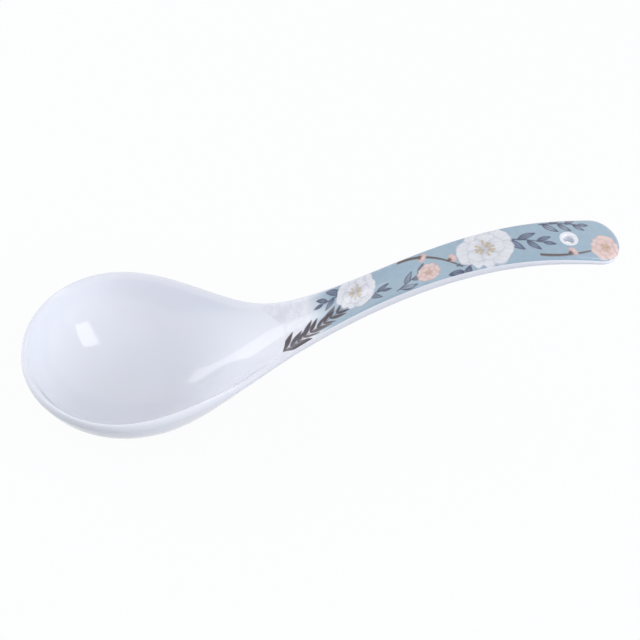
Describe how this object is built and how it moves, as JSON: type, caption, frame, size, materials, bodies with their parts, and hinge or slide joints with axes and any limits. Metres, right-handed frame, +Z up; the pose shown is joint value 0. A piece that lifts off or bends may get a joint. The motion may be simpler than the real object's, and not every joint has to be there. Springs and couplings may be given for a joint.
{
  "type": "serving spoon",
  "caption": "Glazed ceramic serving spoon with a deep egg-shaped bowl, an arched guttered handle with a printed floral transfer, and a round hanging hole near the end.",
  "frame": {"origin": "middle of the flat foot under the bowl, on the surface that the spoon stands on", "axes": "+X from the bowl to the end of the handle, +Y to the left seen from the bowl's front towards the handle, +Z up, out of the bowl"},
  "size_m": [0.2611, 0.0888, 0.0756],
  "materials": {
    "glaze_bowl": "high-gloss clear glaze over a bluish-white body",
    "glaze_handle": "high-gloss clear glaze over a bluish-white body",
    "printed_transfer": "glossy printed film, grey-blue ground with pale blossoms"
  },
  "bodies": {
    "root": {"bowl": "glaze_bowl", "handle": "glaze_handle", "handle_decal": "printed_transfer"}
  },
  "joints": []
}
